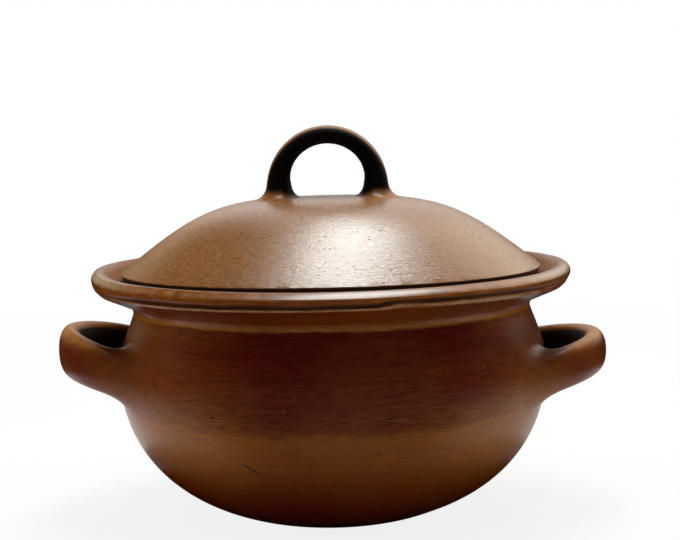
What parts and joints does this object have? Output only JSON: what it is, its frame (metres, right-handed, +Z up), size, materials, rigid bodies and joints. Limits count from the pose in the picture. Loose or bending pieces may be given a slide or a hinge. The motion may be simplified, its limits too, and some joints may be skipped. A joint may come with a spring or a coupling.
{
  "type": "clay casserole pot",
  "caption": "Round-bellied burnished clay casserole with a flared rolled rim, strap ears on its sides and a domed lift-off lid with a strap loop.",
  "frame": {"origin": "centre of the flat foot, on the surface the pot stands on", "axes": "+Z up along the axis of the pot; +X through the right handle, so the handles stand left and right; -Y is the front seen in the picture"},
  "size_m": [0.3026, 0.262, 0.2119],
  "materials": {
    "body_clay": "burnished satin, reddish brown",
    "left_handle_clay": "burnished satin, orange brown",
    "right_handle_clay": "burnished satin, orange brown",
    "lid_clay": "burnished satin, warm brown",
    "loop_clay": "burnished satin, warm brown"
  },
  "bodies": {
    "pot": {"pot_body": "body_clay", "left_handle": "left_handle_clay", "right_handle": "right_handle_clay"},
    "lid": {"lid_dome": "lid_clay", "lid_handle": "loop_clay"}
  },
  "joints": [
    {"name": "lid_lift", "type": "slide", "parent": "pot", "child": "lid", "axis": [0, 0, 1], "range_m": [0, 0.15]}
  ]
}
